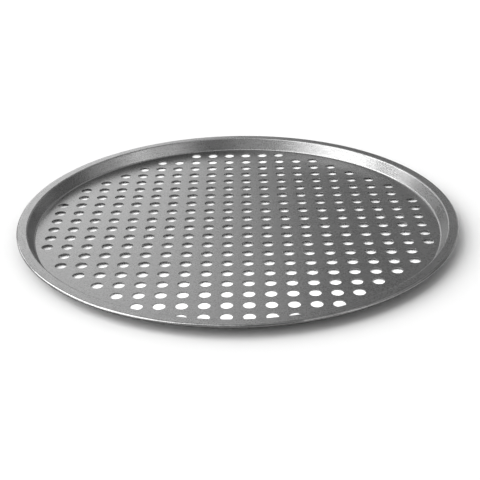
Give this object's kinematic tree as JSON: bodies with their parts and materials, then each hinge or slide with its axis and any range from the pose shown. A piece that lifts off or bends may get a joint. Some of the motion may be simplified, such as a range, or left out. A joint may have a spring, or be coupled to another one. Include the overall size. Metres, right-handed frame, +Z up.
{
  "type": "pizza pan",
  "caption": "Round shallow pizza pan with a flat perforated base, a low sloping wall and a flat flange that is rolled at its edge around a wire.",
  "frame": {"origin": "centre of the base's underside, on the surface that the pan stands on", "axes": "+Z up, out of the open side of the pan; X and Y along the rows of perforations"},
  "size_m": [0.3576, 0.3576, 0.0108],
  "materials": {
    "coated_sheet": "satin metallic grey release coating on pressed carbon steel sheet",
    "bare_wire": "plain drawn steel wire, closed in by the rolled edge"
  },
  "bodies": {
    "root": {"pan_sheet": "coated_sheet", "rim_wire": "bare_wire"}
  },
  "joints": []
}
